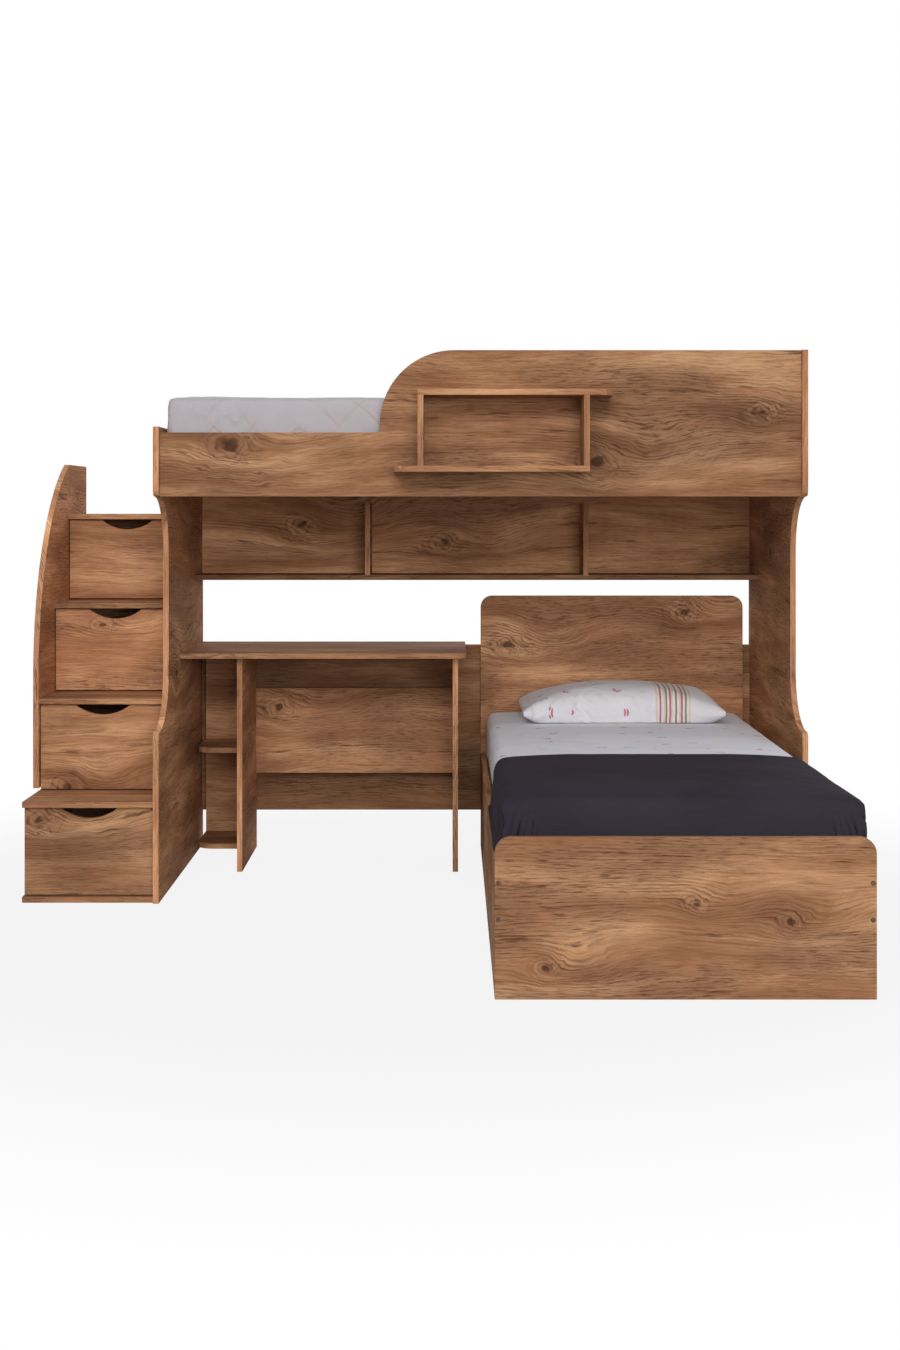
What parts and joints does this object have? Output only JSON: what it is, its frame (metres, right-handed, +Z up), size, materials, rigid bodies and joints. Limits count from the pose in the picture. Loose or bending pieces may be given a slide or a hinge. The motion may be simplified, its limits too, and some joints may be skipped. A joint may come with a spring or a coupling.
{
  "type": "bunk bed",
  "caption": "Board-built L-shaped bunk bed with a drawer stair, guard shelf, bookshelf and desk beneath, and a single bed set across below, with mattresses, pillow and throw.",
  "frame": {"origin": "on the floor, under the middle of the whole bed's box", "axes": "+X to the right along the upper bed, +Y from the foot of the lower bed to the wall, +Z up"},
  "size_m": [2.476, 2.083, 1.73],
  "materials": {
    "wood_board": "satin",
    "slat_pine": "matte",
    "drawer_board": "satin",
    "runner_steel": "satin",
    "bolt_steel": "satin",
    "sheet": "matte",
    "pillow_case": "matte",
    "throw_cloth": "matte"
  },
  "bodies": {
    "bed_frame": {"bed_bolts": "bolt_steel", "bed_left_rail": "wood_board", "bed_right_rail": "wood_board", "bookshelf_board": "wood_board", "bookshelf_divider_left": "wood_board", "bookshelf_divider_right": "wood_board", "desk_left_leg": "wood_board", "desk_modesty_panel": "wood_board", "desk_niche_back": "wood_board", "desk_niche_shelf_high": "wood_board", "desk_niche_shelf_low": "wood_board", "desk_right_leg": "wood_board", "desk_top": "wood_board", "drawer_runners": "runner_steel", "footboard": "wood_board", "front_guard": "wood_board", "guard_shelf_bottom": "wood_board", "guard_shelf_top": "wood_board", "guard_shelf_uprights": "wood_board", "headboard": "wood_board", "left_side_panel": "wood_board", "lower_back_panel": "wood_board", "lower_ledgers": "slat_pine", "lower_mattress": "sheet", "lower_slats": "slat_pine", "pillow": "pillow_case", "right_side_panel": "wood_board", "stair_back": "wood_board", "stair_base": "wood_board", "stair_base_side": "wood_board", "stair_side_panel": "wood_board", "stair_tread_1": "wood_board", "stair_tread_2": "wood_board", "stair_tread_3": "wood_board", "stair_tread_4": "wood_board", "throw": "throw_cloth", "upper_back_panel": "wood_board", "upper_ledgers": "slat_pine", "upper_mattress": "sheet", "upper_slats": "slat_pine"},
    "drawer_1": {"drawer_1_back": "drawer_board", "drawer_1_bottom": "drawer_board", "drawer_1_front": "wood_board", "drawer_1_sides": "drawer_board", "drawer_1_slides": "runner_steel"},
    "drawer_2": {"drawer_2_back": "drawer_board", "drawer_2_bottom": "drawer_board", "drawer_2_front": "wood_board", "drawer_2_sides": "drawer_board", "drawer_2_slides": "runner_steel"},
    "drawer_3": {"drawer_3_back": "drawer_board", "drawer_3_bottom": "drawer_board", "drawer_3_front": "wood_board", "drawer_3_sides": "drawer_board", "drawer_3_slides": "runner_steel"},
    "drawer_4": {"drawer_4_back": "drawer_board", "drawer_4_bottom": "drawer_board", "drawer_4_front": "wood_board", "drawer_4_sides": "drawer_board", "drawer_4_slides": "runner_steel"}
  },
  "joints": [
    {"name": "drawer_1_slide", "type": "slide", "parent": "bed_frame", "child": "drawer_1", "axis": [0, -1, 0], "range_m": [0, 0.375]},
    {"name": "drawer_2_slide", "type": "slide", "parent": "bed_frame", "child": "drawer_2", "axis": [0, -1, 0], "range_m": [0, 0.375]},
    {"name": "drawer_3_slide", "type": "slide", "parent": "bed_frame", "child": "drawer_3", "axis": [0, -1, 0], "range_m": [0, 0.335]},
    {"name": "drawer_4_slide", "type": "slide", "parent": "bed_frame", "child": "drawer_4", "axis": [0, -1, 0], "range_m": [0, 0.185]}
  ]
}
